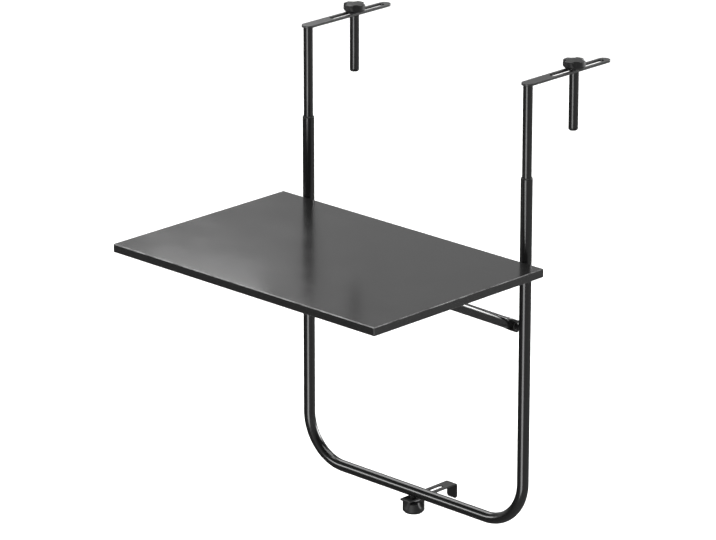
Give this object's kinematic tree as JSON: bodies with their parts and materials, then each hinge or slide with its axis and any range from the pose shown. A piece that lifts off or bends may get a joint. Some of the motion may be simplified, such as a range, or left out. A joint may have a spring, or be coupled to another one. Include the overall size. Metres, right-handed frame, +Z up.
{
  "type": "balcony hanging table",
  "caption": "Folding balcony table that hangs on a railing: bent tube frame, telescopic posts with adjustable hooks, hinged sheet-steel top, folding support bow and slotted foot spacer.",
  "frame": {"origin": "midway between the two posts, in the plane of the post axes, on the undersides of the hook arms, where the railing's top rail carries the table", "axes": "+X along the railing, +Y away from the sitter across the railing, +Z up"},
  "size_m": [0.6, 0.6095, 0.8347],
  "materials": {
    "frame_coat": "anthracite powder coat, satin",
    "post_coat": "anthracite powder coat, satin",
    "plate_coat": "anthracite powder coat, satin",
    "top_coat": "anthracite powder coat, fine satin",
    "knob_plastic": "black moulded plastic",
    "guide_plastic": "black moulded plastic",
    "nylon": "black nylon",
    "zinc_steel": "zinc plated",
    "black_steel": "black oxide"
  },
  "bodies": {
    "frame": {"u_frame": "frame_coat", "pivot_washers": "nylon", "foot_bush": "frame_coat", "spacer_washer": "zinc_steel", "left_guide_bush": "guide_plastic", "left_clamp_boss": "frame_coat", "left_hinge_boss": "frame_coat", "left_hinge_bolt": "black_steel", "left_bow_boss": "frame_coat", "left_bow_bolt": "black_steel", "right_guide_bush": "guide_plastic", "right_clamp_boss": "frame_coat", "right_hinge_boss": "frame_coat", "right_hinge_bolt": "black_steel", "right_bow_boss": "frame_coat", "right_bow_bolt": "black_steel"},
    "table": {"table_top": "top_coat", "left_bearer": "plate_coat", "left_hinge_ear": "plate_coat", "left_bow_catch": "plate_coat", "right_bearer": "plate_coat", "right_hinge_ear": "plate_coat", "right_bow_catch": "plate_coat"},
    "bow": {"support_bow": "frame_coat"},
    "left_post": {"left_post_tube": "post_coat", "left_hook_arm": "plate_coat", "left_post_glide": "guide_plastic"},
    "left_hook": {"left_hook_pin": "post_coat", "left_hook_insert": "zinc_steel", "left_hook_cap": "knob_plastic", "left_hook_washer": "zinc_steel"},
    "left_knob": {"left_hook_knob": "knob_plastic", "left_hook_stud": "zinc_steel"},
    "left_clamp": {"left_clamp_screw": "black_steel"},
    "right_post": {"right_post_tube": "post_coat", "right_hook_arm": "plate_coat", "right_post_glide": "guide_plastic"},
    "right_hook": {"right_hook_pin": "post_coat", "right_hook_insert": "zinc_steel", "right_hook_cap": "knob_plastic", "right_hook_washer": "zinc_steel"},
    "right_knob": {"right_hook_knob": "knob_plastic", "right_hook_stud": "zinc_steel"},
    "right_clamp": {"right_clamp_screw": "black_steel"},
    "spacer": {"spacer_plate": "plate_coat"},
    "foot_knob": {"spacer_knob": "knob_plastic", "spacer_stud": "zinc_steel"}
  },
  "joints": [
    {"name": "table_fold", "type": "hinge", "parent": "frame", "child": "table", "pos_m": [0, 0, -0.327], "axis": [1, 0, 0], "range_deg": [0, 90]},
    {"name": "bow_fold", "type": "hinge", "parent": "frame", "child": "bow", "pos_m": [0, 0, -0.419], "axis": [1, 0, 0], "range_deg": [0, 116.25]},
    {"name": "spacer_slide", "type": "slide", "parent": "frame", "child": "spacer", "axis": [0, 1, 0], "range_m": [-0.067, 0]},
    {"name": "foot_knob_turn", "type": "hinge", "parent": "frame", "child": "foot_knob", "pos_m": [0, 0, -0.8], "axis": [0, 0, 1], "continuous": true},
    {"name": "left_post_slide", "type": "slide", "parent": "frame", "child": "left_post", "axis": [0, 0, 1], "range_m": [-0.14, 0.1]},
    {"name": "left_hook_slide", "type": "slide", "parent": "left_post", "child": "left_hook", "axis": [0, 1, 0], "range_m": [-0.054, 0.067]},
    {"name": "left_knob_turn", "type": "hinge", "parent": "left_hook", "child": "left_knob", "pos_m": [-0.25, 0.113, 0], "axis": [0, 0, 1], "continuous": true},
    {"name": "left_clamp_turn", "type": "hinge", "parent": "frame", "child": "left_clamp", "pos_m": [-0.25, 0.012, -0.175], "axis": [0, 1, 0], "continuous": true},
    {"name": "right_post_slide", "type": "slide", "parent": "frame", "child": "right_post", "axis": [0, 0, 1], "range_m": [-0.14, 0.1]},
    {"name": "right_hook_slide", "type": "slide", "parent": "right_post", "child": "right_hook", "axis": [0, 1, 0], "range_m": [-0.054, 0.067]},
    {"name": "right_knob_turn", "type": "hinge", "parent": "right_hook", "child": "right_knob", "pos_m": [0.25, 0.113, 0], "axis": [0, 0, 1], "continuous": true},
    {"name": "right_clamp_turn", "type": "hinge", "parent": "frame", "child": "right_clamp", "pos_m": [0.25, 0.012, -0.175], "axis": [0, 1, 0], "continuous": true}
  ],
  "couplings": [
    {"joint": "bow_fold", "follows": "table_fold", "ratio": 1.2917}
  ]
}
